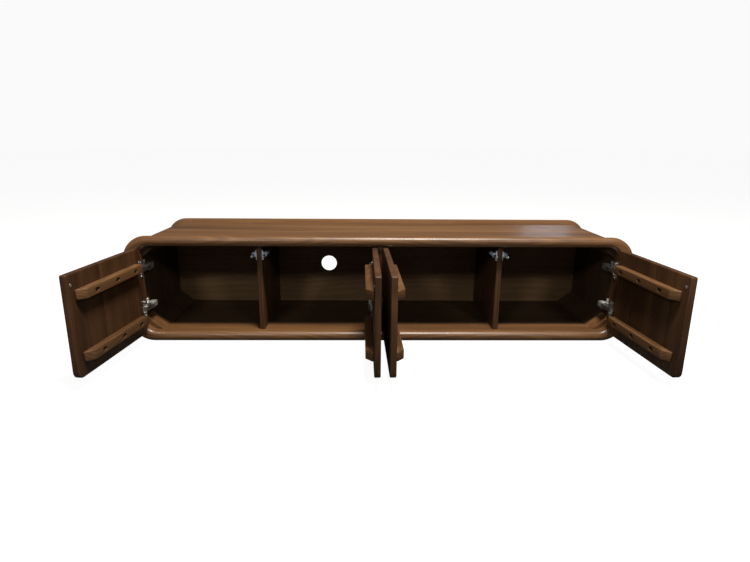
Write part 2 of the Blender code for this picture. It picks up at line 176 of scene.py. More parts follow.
def new_group(name, inputs, outputs):
    """A shader group with (name, kind, value) inputs and (name, kind) outputs, and its two end nodes."""
    tree = bpy.data.node_groups.new(name, "ShaderNodeTree")
    for label, kind, value in inputs:
        socket = tree.interface.new_socket(label, in_out="INPUT", socket_type=kind)
        if value is not None:
            socket.default_value = value
    for label, kind in outputs:
        tree.interface.new_socket(label, in_out="OUTPUT", socket_type=kind)
    return tree, tree.nodes.new("NodeGroupInput"), tree.nodes.new("NodeGroupOutput")


print("node helpers are ready")

# %% [markdown]
# ## The figure of the wood
# Walnut shows three scales at once: growth rings that a flat-sawn board cuts into long arches, fine fibres,
# and short dark pores. A picture could hold them, but it would stretch round the rolled rims. Noise in the
# wood's own coordinates (along the grain, across it, and into the board) wraps round every edge as real
# grain does, so the group below takes those coordinates and a seed for each board.

# %% Build the wood figure group
RINGS_PER_METRE = 105.0
HEART_DEPTH, HEART_ASIDE = 0.055, 0.08
SWAY = 0.16
BOARD_SHIFT = 0.05
RING_SHARE, GRIT_SHARE, TONE_SHIFT = 0.085, 0.35, -0.175
PORE_START, PORE_FULL = 0.60, 0.72

figure, ins, outs = new_group(
    "wood_figure",
    [("Grain", "NodeSocketVector", None), ("Seed", "NodeSocketFloat", 0.0)],
    [("Tone", "NodeSocketFloat"), ("Fibre", "NodeSocketFloat"), ("Pores", "NodeSocketFloat")],
)


def stretched_noise(tree, stretch, detail, roughness=0.5):
    """Noise over the grain coordinates, each scaled by its own factor."""
    scale = add_node(tree, "ShaderNodeVectorMath", operation="MULTIPLY")
    scale.inputs[1].default_value = stretch
    join(tree, ins, "Grain", scale, 0)
    noise = add_node(
        tree, "ShaderNodeTexNoise", noise_dimensions="4D", Scale=1.0, Detail=detail, Roughness=roughness
    )
    join(tree, scale, "Vector", noise, "Vector")
    join(tree, ins, "Seed", noise, "W")
    return noise


drift = stretched_noise(figure, (1.3, 3.0, 3.0), 2.0)
axes = add_node(figure, "ShaderNodeSeparateXYZ")
join(figure, ins, "Grain", axes, "Vector")
sway = math_node(figure, "MULTIPLY", (drift, "Fac"), SWAY)
across = math_node(figure, "ADD", (axes, "Y"), (sway, 0))
offset = math_node(figure, "SINE", (ins, "Seed"))
offset = math_node(figure, "MULTIPLY", (offset, 0), BOARD_SHIFT)
across = math_node(figure, "ADD", (across, 0), (offset, 0))
across = math_node(figure, "SUBTRACT", (across, 0), HEART_ASIDE)
across = math_node(figure, "MULTIPLY", (across, 0), (across, 0))
depth = math_node(figure, "ADD", (axes, "Z"), HEART_DEPTH)
depth = math_node(figure, "MULTIPLY", (depth, 0), (depth, 0))
radius = math_node(figure, "SQRT", (math_node(figure, "ADD", (across, 0), (depth, 0)), 0))
rings = math_node(figure, "MULTIPLY", (radius, 0), RINGS_PER_METRE * 2 * math.pi)
rings = math_node(figure, "SINE", (rings, 0))
streak = stretched_noise(figure, (0.9, 16.0, 16.0), 3.0, 0.6)
fibre = stretched_noise(figure, (5.0, 230.0, 230.0), 3.0, 0.65)
pores = stretched_noise(figure, (38.0, 820.0, 820.0), 1.0)
tone = math_node(figure, "MULTIPLY", (rings, 0), RING_SHARE)
tone = math_node(figure, "ADD", (tone, 0), (streak, "Fac"))
grit = math_node(figure, "MULTIPLY", (fibre, "Fac"), GRIT_SHARE)
tone = math_node(figure, "ADD", (tone, 0), (grit, 0))
tone = math_node(figure, "ADD", (tone, 0), TONE_SHIFT)
join(figure, tone, 0, outs, "Tone")
join(figure, fibre, "Fac", outs, "Fibre")
cut = spread(figure, (pores, "Fac"), PORE_START, PORE_FULL, interpolation_type="SMOOTHSTEP")
join(figure, cut, "Result", outs, "Pores")
print("wood_figure has", len(figure.nodes), "nodes")

# %% [markdown]
# ## Worn edges and painted edge highlights
# Lacquer thins where hands and cloths rub an edge, and moulded plastic goes pale, so both look lighter there.
# The lighter edges are also painted highlights, standing in for light caught on the edges.
# The Bevel node's normal leans away from the true one only near an edge, and that lean is the mask.

# %% Build the worn and highlit edge group
edge_wear_highlight, ins, outs = new_group(
    "worn_and_highlit_edges",
    [("Radius", "NodeSocketFloat", 0.002)],
    [("Edge", "NodeSocketFloat")],
)
FLAT_FACE_LEAN, FULL_EDGE_LEAN = 0.995, 0.86  # cosines of the lean
rounded = add_node(edge_wear_highlight, "ShaderNodeBevel", samples=4)
join(edge_wear_highlight, ins, "Radius", rounded, "Radius")
surface = add_node(edge_wear_highlight, "ShaderNodeNewGeometry")
lean_mask = add_node(edge_wear_highlight, "ShaderNodeVectorMath", operation="DOT_PRODUCT")
join(edge_wear_highlight, rounded, "Normal", lean_mask, 0)
join(edge_wear_highlight, surface, "Normal", lean_mask, 1)
edge = spread(edge_wear_highlight, (lean_mask, "Value"), FLAT_FACE_LEAN, FULL_EDGE_LEAN, interpolation_type="SMOOTHSTEP")
join(edge_wear_highlight, edge, "Result", outs, "Edge")
print("worn_and_highlit_edges has", len(edge_wear_highlight.nodes), "nodes")

# %% [markdown]
# ## Uneven film
# No sprayed, plated or moulded surface shines evenly. Soft blotches change how rough it is from place to
# place, and the lacquer, the metal and the plastic each use this group at their own scale.

# %% Build the uneven film group
film, ins, outs = new_group(
    "uneven_film",
    [("Scale", "NodeSocketFloat", 9.0), ("Low", "NodeSocketFloat", 0.3), ("High", "NodeSocketFloat", 0.5)],
    [("Roughness", "NodeSocketFloat"), ("Mottle", "NodeSocketFloat")],
)
where = add_node(film, "ShaderNodeTexCoord")
blotch = add_node(film, "ShaderNodeTexNoise", Detail=4.0, Roughness=0.6)
join(film, where, "Object", blotch, "Vector")
join(film, ins, "Scale", blotch, "Scale")
shine = spread(film, (blotch, "Fac"), 0.3, 0.7)
join(film, ins, "Low", shine, "To Min")
join(film, ins, "High", shine, "To Max")
join(film, shine, "Result", outs, "Roughness")
join(film, blotch, "Fac", outs, "Mottle")
print("uneven_film has", len(film.nodes), "nodes")

# %% [markdown]
# ## Walnut under satin lacquer
# The same recipe makes the outside, the doors, the back, the darker inside faces and the battens. Each has
# its own three colours, from heartwood streak to sapwood, and its own shine: the show faces have a fuller
# coat.

# %% Make the wood finishes
PORE_COLOUR = (0.25, 0.18, 0.14, 1.0)
PORE_SHADE = 0.45
TONE_PLACES = (0.26, 0.50, 0.78)
EDGE_WEAR_HIGHLIGHT_RADIUS, EDGE_WEAR_HIGHLIGHT_LIFT = 0.0022, 1.5
FIBRE_ROUGHNESS = 0.12
BARE_SPECULAR = 0.15


def place_group(tree, group, **values):
    return add_node(tree, "ShaderNodeGroup", node_tree=group, **values)


def new_finish(name):
    """A new material, its node tree and its shader."""
    made = bpy.data.materials.new(name)
    made.use_nodes = True
    return made, made.node_tree, made.node_tree.nodes["Principled BSDF"]


def emboss(tree, height, strength, distance, shader):
    """Feeds a relief to the shader as a bump."""
    bump = add_node(tree, "ShaderNodeBump", Strength=strength, Distance=distance)
    feed(tree, height, bump, "Height")
    join(tree, bump, "Normal", shader, "Normal")


def lit(colour, share=1.0):
    """The colour made lighter or darker, with full alpha."""
    return (*[min(1.0, share * c) for c in colour], 1.0)


def wood(name, colours, shine, coat, edge_wear_and_highlight):
    made, tree, shader = new_finish(name)
    grain = add_node(tree, "ShaderNodeAttribute", attribute_name="grain")
    seed = add_node(tree, "ShaderNodeAttribute", attribute_type="OBJECT", attribute_name="seed")
    look = place_group(tree, figure)
    join(tree, grain, "Vector", look, "Grain")
    join(tree, seed, "Fac", look, "Seed")
    ramp = add_node(tree, "ShaderNodeValToRGB")
    stops = ramp.color_ramp.elements
    stops.new(TONE_PLACES[1])
    for stop, place, colour in zip(stops, TONE_PLACES, colours):
        stop.position = place
        stop.color = lit(colour)
    join(tree, look, "Tone", ramp, "Fac")
    shade = math_node(tree, "MULTIPLY", (look, "Pores"), PORE_SHADE)
    pitted = blend(tree, (shade, 0), (ramp, "Color"), PORE_COLOUR, "MULTIPLY")
    # Lighter edges: partly wear, and partly painted highlights where light would catch them.
    edges = place_group(tree, edge_wear_highlight, Radius=EDGE_WEAR_HIGHLIGHT_RADIUS)
    edge_lift = math_node(tree, "MULTIPLY", (edges, "Edge"), edge_wear_and_highlight)
    edge_lightened = blend(tree, (edge_lift, 0), (pitted, "Result"), lit(colours[2], EDGE_WEAR_HIGHLIGHT_LIFT))
    join(tree, edge_lightened, "Result", shader, "Base Color")
    gloss = place_group(tree, film, Scale=14.0, Low=shine - 0.05, High=shine + 0.07)
    rough = math_node(tree, "MULTIPLY", (look, "Fibre"), FIBRE_ROUGHNESS)
    rough = math_node(tree, "ADD", (rough, 0), (gloss, "Roughness"))
    join(tree, rough, 0, shader, "Roughness")
    relief = math_node(tree, "MULTIPLY", (look, "Pores"), -0.8)
    relief = math_node(tree, "ADD", (relief, 0), (look, "Fibre"))
    emboss(tree, (relief, 0), 0.22, 0.0004, shader)
    shader.inputs["Coat Weight"].default_value = coat
    shader.inputs["Specular IOR Level"].default_value = BARE_SPECULAR + coat
    shader.inputs["Coat Roughness"].default_value = 0.26
    shader.inputs["Coat IOR"].default_value = 1.5
    return made


walnut = wood(
    "walnut_lacquer",
    colours=((0.064, 0.028, 0.0105), (0.126, 0.058, 0.021), (0.200, 0.100, 0.038)),
    shine=0.36, coat=0.25, edge_wear_and_highlight=0.35,
)
# Painted shade: the doors and partitions take this darker copy of the walnut, darkened for the shade that
# falls on them.
door_walnut = wood(
    "door_walnut",
    colours=((0.025, 0.0100, 0.0038), (0.054, 0.0230, 0.0082), (0.092, 0.042, 0.016)),
    shine=0.46, coat=0.10, edge_wear_and_highlight=0.5,
)
# Painted light: the back's walnut is lighter than the rest, standing in for light that falls on the back.
lightened_back_walnut = wood(
    "lightened_back_walnut",
    colours=((0.140, 0.080, 0.037), (0.172, 0.103, 0.050), (0.210, 0.125, 0.061)),
    shine=0.52, coat=0.05, edge_wear_and_highlight=0.3,
)
darker_inside = wood(
    "darker_inside",
    colours=((0.036, 0.020, 0.0092), (0.052, 0.029, 0.0140), (0.072, 0.042, 0.0205)),
    shine=0.50, coat=0.05, edge_wear_and_highlight=0.0,
)
batten_walnut = wood(
    "batten_walnut",
    colours=((0.060, 0.027, 0.010), (0.100, 0.047, 0.0175), (0.15, 0.075, 0.030)),
    shine=0.48, coat=0.08, edge_wear_and_highlight=0.35,
)
print("five wood finishes")

# %% [markdown]
# ## Metal and plastic
# Plated steel is a bright metal whose roughness wanders with handling. The screws of the battens and the
# back are blackened. The latch barrels, their brackets and the batten bushings are moulded plastic in grey,
# white and black, with the fine texture of a spark-eroded mould. The blue tint of the barrels and of the
# zinc plungers is a painted reflection of sky.

# %% Make the metal and plastic finishes
def metal(name, colour, low, high, grain_scale):
    made, tree, shader = new_finish(name)
    shader.inputs["Metallic"].default_value = 1.0
    gloss = place_group(tree, film, Scale=grain_scale, Low=low, High=high)
    join(tree, gloss, "Roughness", shader, "Roughness")
    tint = blend(tree, (gloss, "Mottle"), lit(colour, 0.82), lit(colour))
    join(tree, tint, "Result", shader, "Base Color")
    emboss(tree, (gloss, "Mottle"), 0.08, 0.0002, shader)
    return made


def plastic(name, colour):
    made, tree, shader = new_finish(name)
    gloss = place_group(tree, film, Scale=900.0, Low=0.34, High=0.5)
    join(tree, gloss, "Roughness", shader, "Roughness")
    # Paler edges: partly moulding, and partly painted highlights where light would catch them.
    edges = place_group(tree, edge_wear_highlight, Radius=0.0008)
    tint = blend(tree, (edges, "Edge"), lit(colour), lit(colour, 1.35))
    join(tree, tint, "Result", shader, "Base Color")
    emboss(tree, (gloss, "Mottle"), 0.25, 0.0001, shader)
    return made


nickel = metal("nickel_plate", (0.80, 0.79, 0.76), 0.24, 0.42, 60.0)
satin_nickel = metal("satin_nickel", (0.88, 0.87, 0.84), 0.46, 0.64, 60.0)
# Painted reflection: the plungers' blue tint stands in for reflected sky.
zinc_painted_sky = metal("zinc_plunger_painted_sky", (0.60, 0.66, 0.74), 0.18, 0.36, 80.0)
black_screw = metal("blackened_screw", (0.09, 0.085, 0.08), 0.30, 0.5, 300.0)
# Painted reflection: the barrels' blue tint stands in for reflected sky; the grey plastic is real.
latch_grey_painted_sky = plastic("latch_grey_painted_sky", (0.52, 0.60, 0.76))
latch_white = plastic("latch_white", (0.86, 0.86, 0.84))
bushing_black = plastic("bushing_black", (0.006, 0.006, 0.006))
print("four metals and three plastics")

# %% [markdown]
# ## Closed meshes
# Nearly every piece is a loft: rings of points joined one to the next and capped at both ends, which gives a
# closed mesh with no stray faces. An arc gives the points of a round corner.

# %% Helpers for meshes
SHARP_ANGLE = math.radians(35)


def shaded_mesh(name, shape):
    """A mesh of the bmesh, smooth but for its sharp edges."""
    bmesh.ops.recalc_face_normals(shape, faces=shape.faces)
    mesh = bpy.data.meshes.new(name)
    shape.to_mesh(mesh)
    shape.free()
    mesh.shade_smooth()
    mesh.set_sharp_from_angle(angle=SHARP_ANGLE)
    return mesh


def loft(name, rings):
    """A closed mesh through rings of equally many points, with a cap on the first and the last."""
    shape = bmesh.new()
    loops = [[shape.verts.new(point) for point in ring] for ring in rings]
    for near, far in zip(loops, loops[1:]):
        for i in range(len(near)):
            j = (i + 1) % len(near)
            shape.faces.new((near[i], near[j], far[j], far[i]))
    shape.faces.new(loops[0])
    shape.faces.new(loops[-1])
    bmesh.ops.remove_doubles(shape, verts=shape.verts, dist=1e-6)
    return shaded_mesh(name, shape)


def joined_mesh(name, meshes):
    """One mesh of several, which it takes up."""
    shape = bmesh.new()
    for mesh in meshes:
        shape.from_mesh(mesh)
        bpy.data.meshes.remove(mesh)
    joined = bpy.data.meshes.new(name)
    shape.to_mesh(joined)
    shape.free()
    return joined


def link_new(name, mesh):
    made = bpy.data.objects.new(name, mesh)
    bpy.context.scene.collection.objects.link(made)
    return made


def arc(centre, radius, start, end, steps):
    angles = [math.radians(start + (end - start) * i / steps) for i in range(steps + 1)]
    return [(centre[0] + radius * math.cos(a), centre[1] + radius * math.sin(a)) for a in angles]


def rod_mesh(name, a, b, radius, axis, near, far, sides=32):
    """A round rod about the point (a, b), from near to far along axis."""
    ring = arc((a, b), radius, 0, 360 - 360 / sides, sides - 1)
    if axis == "Y":
        return loft(name, [[(x, level, z) for x, z in ring] for level in (near, far)])
    return loft(name, [[(x, y, level) for x, y in ring] for level in (near, far)])


print("mesh helpers are ready")

# %% [markdown]
# ## Making a piece
# Every wooden piece goes the same way: a closed mesh, its cuts and rounded edges as modifiers, and then the
# modifiers are settled into the mesh so that each corner can be given its wood coordinates. Those are the
# "grain" attribute that the finishes read, and "seed" makes each board a different plank.

# %% Helpers for pieces
dice = random.Random(7)
CUT_PAST = 0.01


def round_edges(piece, width, segments=3, limit="ANGLE"):
    bevel = piece.modifiers.new("rounding", "BEVEL")
    bevel.width = width
    bevel.segments = segments
    bevel.limit_method = limit
    bevel.angle_limit = math.radians(40)


def cut_out(piece, meshes):
    """Cuts closed meshes out of the piece."""
    for mesh in meshes:
        tool = link_new(f"{piece.name}_tool", mesh)
        tool.hide_render = True
        cut = piece.modifiers.new("cut", "BOOLEAN")
        cut.operation = "DIFFERENCE"
        cut.solver = "EXACT"
        cut.object = tool


def settle(piece):
    """Puts the modifiers' result into the piece's own mesh and removes the cutting tools."""
    bpy.context.view_layer.update()
    graph = bpy.context.evaluated_depsgraph_get()
    mesh = bpy.data.meshes.new_from_object(piece.evaluated_get(graph), depsgraph=graph)
    tools = [step.object for step in piece.modifiers if step.type == "BOOLEAN"]
    piece.modifiers.clear()
    piece.data = mesh
    for tool in tools:
        bpy.data.objects.remove(tool)
    mesh.shade_smooth()
    mesh.set_sharp_from_angle(angle=SHARP_ANGLE)


def finish_wood(piece, finish, grain_of, body, replaced, place=None):
    """Settles a wooden piece, gives it wood coordinates and a finish, and puts it on its body."""
    settle(piece)
    layer = piece.data.attributes.new("grain", "FLOAT_VECTOR", "POINT")
    for i, vertex in enumerate(piece.data.vertices):
        layer.data[i].vector = grain_of(vertex.co)
    piece["seed"] = round(dice.uniform(0.0, 40.0), 3)
    piece.data.materials.append(finish)
    if place is not None:
        piece.matrix_world = place
    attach(piece, body)
    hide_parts(replaced)


print("piece helpers are ready")

# %% [markdown]
# ## The rim-to-rim section
# The top and the ends are one moulded section: a rolled front rim, a cove between the rims, and a rolled
# rear rim. The same list of points is pushed along a board or turned round a corner, so the mouldings meet
# exactly, as mitred or coopered boards are made to.

# %% Draw the carcass section
DARKER_FROM_Y = -0.140
BACK_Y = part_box("back_panel")[0].y
BEAD_SHAPE = 0.5  # below 1, the wood falls steeply behind the roll and then flattens
COVE_STEPS = 16


def carcass_section(outer, opening, stop, cove):
    """Points (y, distance out) round the section, with fine steps on what is curved."""
    front, rear = FRONT + RIM_ROUND, REAR - RIM_ROUND
    shares = [(i / COVE_STEPS) ** 2 for i in range(1, COVE_STEPS + 1)]
    fall = [(share, cove * (1 - math.cos(math.pi * share**BEAD_SHAPE)) / 2) for share in shares]
    points = arc((front, outer - RIM_ROUND), RIM_ROUND, 180, 90, 12)
    points += [(front + COVE_SLOPE * share, outer - drop) for share, drop in fall]
    points += [(rear - COVE_SLOPE * share, outer - drop) for share, drop in reversed(fall)]
    points += arc((rear, outer - RIM_ROUND), RIM_ROUND, 90, 0, 12)
    points += arc((rear, stop + RIM_ROUND), RIM_ROUND, 0, -90, 9)
    points += [(BACK_Y, stop), (DARKER_FROM_Y, stop), (STOP_Y, stop), (STOP_Y, opening)]
    return points + arc((front, opening + RIM_ROUND), RIM_ROUND, -90, -180, 9)


print("the section has", len(carcass_section(CORNER_RADIUS, 0, 0, COVE_DEPTH)), "points")

# %% [markdown]
# ## Top, bottom and end boards
# Each board is that section pushed straight. The ends of a push are enough for the shape, and a few rings
# between them keep the wood coordinates even. What faces into the compartments gets a darker finish. One seed
# serves the whole carcass, so its grain runs on round the corners as veneer folded round them does.

# %% Make the straight boards
CARCASS_SEED = 21.7
BOARD_STEPS = 4
arc_x = HALF_LENGTH - CORNER_RADIUS


def darken_inside(piece):
    """Gives the faces inside the compartments the darker finish."""
    piece.data.materials.append(darker_inside)
    start = DARKER_FROM_Y if "bottom" in piece.name else STOP_Y - STOP_SETBACK
    for face in piece.data.polygons:
        inwards = Vector((-face.center.x, 0, HEIGHT / 2 - face.center.z))
        faces_in = face.normal.dot(inwards) > 0 or face.normal.y < -0.9
        if start < face.center.y < BACK_Y and faces_in:
            face.material_index = 1


def carcass_board(name, ends, out, inner, cove, along):
    section = carcass_section(CORNER_RADIUS, inner, inner, cove)
    rings = []
    for step in range(BOARD_STEPS + 1):
        x, z = (a + (b - a) * step / BOARD_STEPS for a, b in zip(*ends))
        rings.append([(x + out[0] * d, y, z + out[1] * d) for y, d in section])
    piece = link_new(f"{name}_wood", loft(name, rings))

    def grain_of(point):
        if along == "X":
            return point.x, point.y, abs(point.z - HEIGHT / 2) - HEIGHT / 2 + CORNER_RADIUS
        turned = arc_x + CORNER_RADIUS * math.pi / 2 + ends[1][1] - point.z
        return math.copysign(turned, point.x), point.y, abs(point.x) - arc_x

    finish_wood(piece, walnut, grain_of, "carcass", name)
    darken_inside(piece)
    piece["seed"] = CARCASS_SEED


top_inner = CORNER_RADIUS - (HEIGHT - CEILING)
bottom_inner = CORNER_RADIUS - FLOOR
side_inner = CORNER_RADIUS - SIDE_THICKNESS
ends = [(x, HEIGHT - CORNER_RADIUS) for x in (top_low.x, top_high.x)]
carcass_board("top_board", ends, (0, 1), top_inner, COVE_DEPTH, "X")
ends = [(x, CORNER_RADIUS) for x in (bottom_low.x, bottom_high.x)]
carcass_board("bottom_board", ends, (0, -1), bottom_inner, 0.0, "X")
for side, label in ((-1, "left"), (1, "right")):
    ends = [(side * arc_x, corner.z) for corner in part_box(f"side_{label}")]
    carcass_board(f"side_{label}", ends, (side, 0), side_inner, COVE_DEPTH, "Z")
print("four boards")

# %% [markdown]
# ## The turned corners
# A corner block is the section turned through a quarter circle. Inside, its front is rounded to let the
# door's corner in, and a sloping stop fills the corner behind the door. At each angle a ray finds how far
# in the wood reaches, which is simpler than cutting the block afterwards and leaves no slivers. The cove
# fades out round the lower corners, because the bottom board is flat underneath.

# %% Make the corner blocks
CORNER_STEP = 3.0
FLAT_STEPS = 5


def inner_reach(start, direction, thickness):
    """How far a ray goes to the opening, whose corner is rounded, and to the sloping stop."""
    right, top = CORNER_RADIUS - SIDE_THICKNESS, CORNER_RADIUS - thickness
    square = min((edge - at) / step for edge, at, step in zip((right, top), start, direction) if step > 1e-9)
    hit = [at + square * step for at, step in zip(start, direction)]
    centre = (right - OPENING_CORNER, top - OPENING_CORNER)
    opening = square
    if hit[0] > centre[0] + 1e-7 and hit[1] > centre[1] + 1e-7:
        shift = (start[0] - centre[0], start[1] - centre[1])
        along = shift[0] * direction[0] + shift[1] * direction[1]
        chord = math.sqrt(along**2 - shift[0] ** 2 - shift[1] ** 2 + OPENING_CORNER**2)
        opening = min(square, -along + chord)
    level = STOP_RISE * (right - start[0]) + STOP_RUN * (top - STOP_RISE - start[1])
    stop = level / (STOP_RISE * direction[0] + STOP_RUN * direction[1])
    return opening, min(stop, opening)


def corner_rays(thickness):
    right, top = CORNER_RADIUS - SIDE_THICKNESS, CORNER_RADIUS - thickness
    flats = [(right - STOP_RUN) * (1 - i / FLAT_STEPS) for i in range(FLAT_STEPS)]
    rays = [((x, 0.0), 90.0) for x in sorted(flats + [right - OPENING_CORNER])]
    turns = {CORNER_STEP * i for i in range(round(90 / CORNER_STEP) + 1)}
    turns.add(math.degrees(math.atan2(top - STOP_RISE, right)))
    return rays + [((0.0, 0.0), turn) for turn in sorted(turns, reverse=True)]


def corner_block(name, side, upright, thickness, cove_at):
    centre = (arc_x, HEIGHT / 2 - CORNER_RADIUS)
    rings = []
    for start, degrees in corner_rays(thickness):
        out = (math.cos(math.radians(degrees)), math.sin(math.radians(degrees)))
        opening, stop = inner_reach(start, out, thickness)
        ring = []
        for y, distance in carcass_section(CORNER_RADIUS, opening, stop, COVE_DEPTH * cove_at(out)):
            x = centre[0] + start[0] + out[0] * distance
            z = centre[1] + start[1] + out[1] * distance
            ring.append((side * x, y, HEIGHT / 2 + upright * z))
        rings.append(ring)
    piece = link_new(f"{name}_wood", loft(name, rings))

    def grain_of(point):
        x = abs(point.x) - centre[0]
        z = upright * (point.z - HEIGHT / 2) - centre[1]
        turned = math.atan2(x, max(z, 1e-6)) * CORNER_RADIUS if x > 0 else x
        return side * (arc_x + turned), point.y, math.hypot(max(x, 0.0), z)

    finish_wood(piece, walnut, grain_of, "carcass", name)
    darken_inside(piece)
    piece["seed"] = CARCASS_SEED


for side, label in ((-1, "left"), (1, "right")):
    corner_block(f"corner_top_{label}", side, 1, HEIGHT - CEILING, lambda out: 1.0)
    corner_block(f"corner_bottom_{label}", side, -1, FLOOR, lambda out: out[0] ** 2)
print("four corner blocks")

# %% [markdown]
# ## Partitions and back
# The partitions are plain boards with eased edges. The back is a thin panel whose corners follow the stops.
# Its cable hole has a rim that is sanded round.

# %% Make the partitions and the back panel
HOLE_RADIUS = 0.0325
HOLE_X = -0.207
HOLE_DROP = 0.146
BOARD_ROUND, BACK_ROUND = 0.0015, 0.0012


def box_mesh(name, low, high):
    ring = [(low.x, low.y), (high.x, low.y), (high.x, high.y), (low.x, high.y)]
    return loft(name, [[(x, y, z) for x, y in ring] for z in (low.z, high.z)])


for label in ("left", "centre", "right"):
    name = f"partition_{label}"
    board = link_new(f"{name}_wood", box_mesh(name, *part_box(name)))
    round_edges(board, BOARD_ROUND)
    # Painted shade: the partitions take the darker door walnut, for the shade between the doors.
    finish_wood(board, door_walnut, lambda p: (p.z, p.y, p.x), "carcass", name)

back_low, back_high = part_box("back_panel")
reach, low, high = back_high.x, back_low.z, back_high.z
outline = [(-reach + STOP_RUN, low), (reach - STOP_RUN, low)]
outline += [(reach, low + STOP_RISE), (reach, high - STOP_RISE)]
outline += [(reach - STOP_RUN, high), (-reach + STOP_RUN, high)]
outline += [(-reach, high - STOP_RISE), (-reach, low + STOP_RISE)]
panel = loft("back", [[(x, y, z) for x, z in outline] for y in (back_low.y, back_high.y)])
back = link_new("back_wood", panel)
through = (back_low.y - CUT_PAST, back_high.y + CUT_PAST)
drill = rod_mesh("hole", HOLE_X, CEILING - HOLE_DROP, HOLE_RADIUS, "Y", *through, 64)
cut_out(back, [drill])
round_edges(back, BACK_ROUND)
finish_wood(back, lightened_back_walnut, lambda p: (p.x, p.z, p.y), "carcass", "back_panel")
print("three partitions and a back panel")

# %% [markdown]
# ## Screws
# One screw head serves everywhere at its own size: a low dome with a cross recess, turned from a short
# profile and cut with two crossed bars. Screws on one piece are gathered into one mesh, because they never
# move on their own. The first ones hold the back panel along its upper and lower edges.

# %% Helpers for screws
DOME_HEIGHT = 0.62
COLLAR_DEPTH = 0.3
RECESS_REACH, RECESS_HALF, RECESS_FLOOR = 0.52, 0.11, 0.35
SCREW_SIDES = 24


def screw_mesh(name, radius):
    """A domed head standing on Z = 0, with a cross recess. Its proportions go with the radius."""
    height = radius * DOME_HEIGHT
    slopes = [math.radians(15 * i) for i in range(6)]
    profile = [(radius, -radius * COLLAR_DEPTH)]
    profile += [(radius * math.cos(a), height * math.sin(a)) for a in slopes]
    turns = [2 * math.pi * i / SCREW_SIDES for i in range(SCREW_SIDES)]
    rings = [[(r * math.cos(a), r * math.sin(a), z) for a in turns] for r, z in profile]
    head = link_new(name, loft(name, rings))
    arm, half = radius * RECESS_REACH, radius * RECESS_HALF
    cutters = []
    for a, b in ((arm, half), (half, arm)):
        ring = [(-a, -b), (a, -b), (a, b), (-a, b)]
        limits = (height * RECESS_FLOOR, height * 2)
        cutters.append(loft("recess", [[(x, y, z) for x, y in ring] for z in limits]))
    cut_out(head, cutters)
    settle(head)
    mesh = head.data
    bpy.data.objects.remove(head)
    return mesh


def gather(name, mesh, finish, body, places=(Matrix.Identity(4),)):
    """Copies of one mesh at several places, joined as one piece that rides on a body."""
    copies = [mesh.copy() for _ in places]
    for copy, place in zip(copies, places):
        copy.transform(place)
    piece = link_new(name, joined_mesh(name, copies))
    piece.data.materials.append(finish)
    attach(piece, body)
    return piece


def facing(direction):
    """A turn that carries +Z to the direction, with a little chance turn of the recess."""
    spin = Matrix.Rotation(dice.uniform(0, math.pi), 4, "Z")
    return Vector(direction).to_track_quat("Z", "Y").to_matrix().to_4x4() @ spin


wide_screw = screw_mesh("wide_screw", 0.0040)
small_screw = screw_mesh("small_screw", 0.0031)
pin_screw = screw_mesh("pin_screw", 0.0020)
panel_screw = screw_mesh("panel_screw", 0.0024)
PANEL_SCREWS = 17
PANEL_END, PANEL_EDGE = 0.07, 0.012
panel_places = []
for i in range(PANEL_SCREWS):
    x = -reach + PANEL_END + 2 * (reach - PANEL_END) * i / (PANEL_SCREWS - 1)
    for z in (low + PANEL_EDGE, high - PANEL_EDGE):
        panel_places.append(Matrix.Translation((x, back_high.y, z)) @ facing((0, 1, 0)))
gather("back_panel_screws", panel_screw, black_screw, "carcass", panel_places)
print("screws for the back:", len(panel_places))

# %% [markdown]
# ## A door's outline
# A door is drawn shut, with u running from its hinge line towards its free edge, and is then turned to where
# it stands. The end doors have one pair of large round corners, at the hinges, to follow the carcass.

# %% Draw a door
DOOR_ROUND = 0.052
HINGE_CORNER = 0.005
FREE_CORNER_TOP = 0.005
FREE_CORNER_BOTTOM = 0.022
EDGE_GAP = 0.002
HALF_MEETING_GAP = 0.0015
DOOR_WIDTH = SIDE_FACE + (partition_low.x + partition_high.x) / 2 - HALF_MEETING_GAP - EDGE_GAP


def door_place(number):
    """The matrix from the shut door at the hinge line to its place at rest, and its hand."""
    joint = joints[f"door_{number}_hinge"]
    hand = -round(joint["axis"][2])
    angle = math.radians(-joint["range_deg"][0])
    place = Matrix.Translation(joint["pos_m"]) @ Matrix.Rotation(-hand * angle, 4, "Z")
    return place, hand


def clip(outline, level, keep):
    """The part of an outline on one side of the line u = level. keep is +1 for more, -1 for less."""
    kept = []
    for (u0, z0), (u1, z1) in zip(outline, outline[1:] + outline[:1]):
        in0, in1 = keep * (u0 - level) >= 0, keep * (u1 - level) >= 0
        if in0:
            kept.append((u0, z0))
        if in0 != in1:
            share = (level - u0) / (u1 - u0)
            kept.append((level, z0 + share * (z1 - z0)))
    return kept


def door_outline(bottom, top, hinge_corner):
    near, far = EDGE_GAP, EDGE_GAP + DOOR_WIDTH
    steps = 16 if hinge_corner > FREE_CORNER_BOTTOM else 4
    outline = arc((far - FREE_CORNER_BOTTOM, bottom + FREE_CORNER_BOTTOM), FREE_CORNER_BOTTOM, -90, 0, 6)
    outline += arc((far - FREE_CORNER_TOP, top - FREE_CORNER_TOP), FREE_CORNER_TOP, 0, 90, 4)
    outline += arc((near + hinge_corner, top - hinge_corner), hinge_corner, 90, 180, steps)
    return outline + arc((near + hinge_corner, bottom + hinge_corner), hinge_corner, 180, 270, steps)


print(f"each door is {DOOR_WIDTH:.3f} wide")

# %% [markdown]
# ## Door planks
# A door is a few planks glued edge to edge. Each plank is its own closed piece: the door's outline is
# clipped between two seams, and the edges get rounding by weight, full on the outside and less at the
# seams, which leaves the fine V that glued planks show. The plank at the hinges is bored for the cups.

